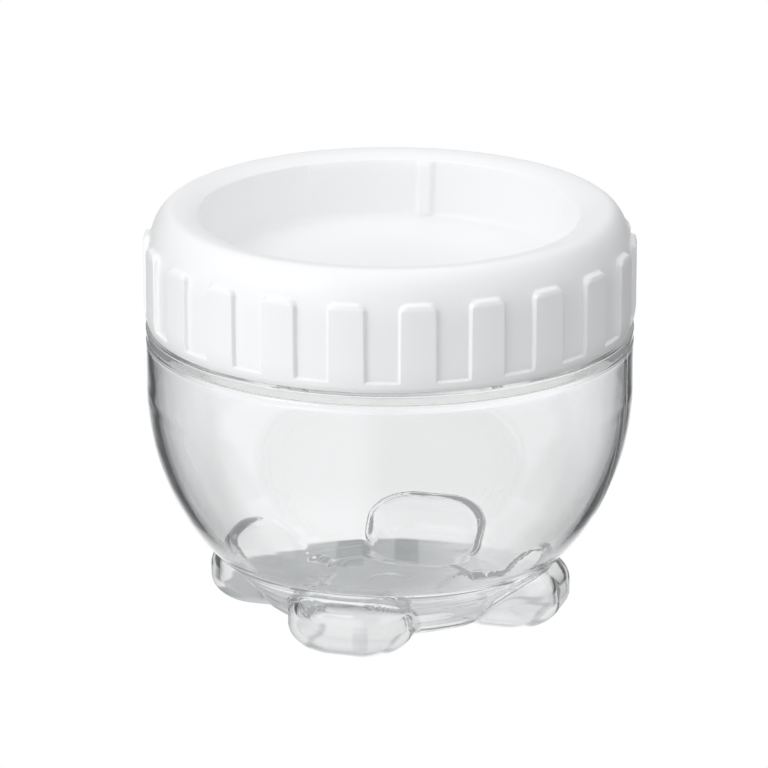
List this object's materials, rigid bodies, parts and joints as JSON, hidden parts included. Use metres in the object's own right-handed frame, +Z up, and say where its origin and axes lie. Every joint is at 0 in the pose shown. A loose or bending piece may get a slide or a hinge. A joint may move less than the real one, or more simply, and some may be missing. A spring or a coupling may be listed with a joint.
{
  "type": "formula dispenser",
  "caption": "Stackable clear container with a white screw cap and moulded feet, for carrying one portion of infant formula powder.",
  "frame": {"origin": "on the axis of the jar, at the height of the ground the four feet stand on", "axes": "+Z up along the jar's and the cap's common axis; the four feet point along +X, -X, +Y and -Y"},
  "size_m": [0.0894, 0.0894, 0.0769],
  "materials": {
    "clear_plastic": "clear, polished",
    "white_plastic": "satin",
    "soft_silicone": "matte, translucent white"
  },
  "bodies": {
    "jar": {"jar": "clear_plastic"},
    "seal": {"seal_ring": "soft_silicone"},
    "cap": {"screw_cap": "white_plastic"}
  },
  "joints": [
    {"name": "cap_lift", "type": "slide", "parent": "jar", "child": "seal", "axis": [0, 0, 1], "range_m": [0, 0.02205]},
    {"name": "cap_turn", "type": "hinge", "parent": "seal", "child": "cap", "pos_m": [0, 0, 0.0554], "axis": [0, 0, 1], "range_deg": [0, 990]}
  ],
  "couplings": [
    {"joint": "cap_lift", "follows": "cap_turn", "m_per_rad": 0.0012732}
  ]
}
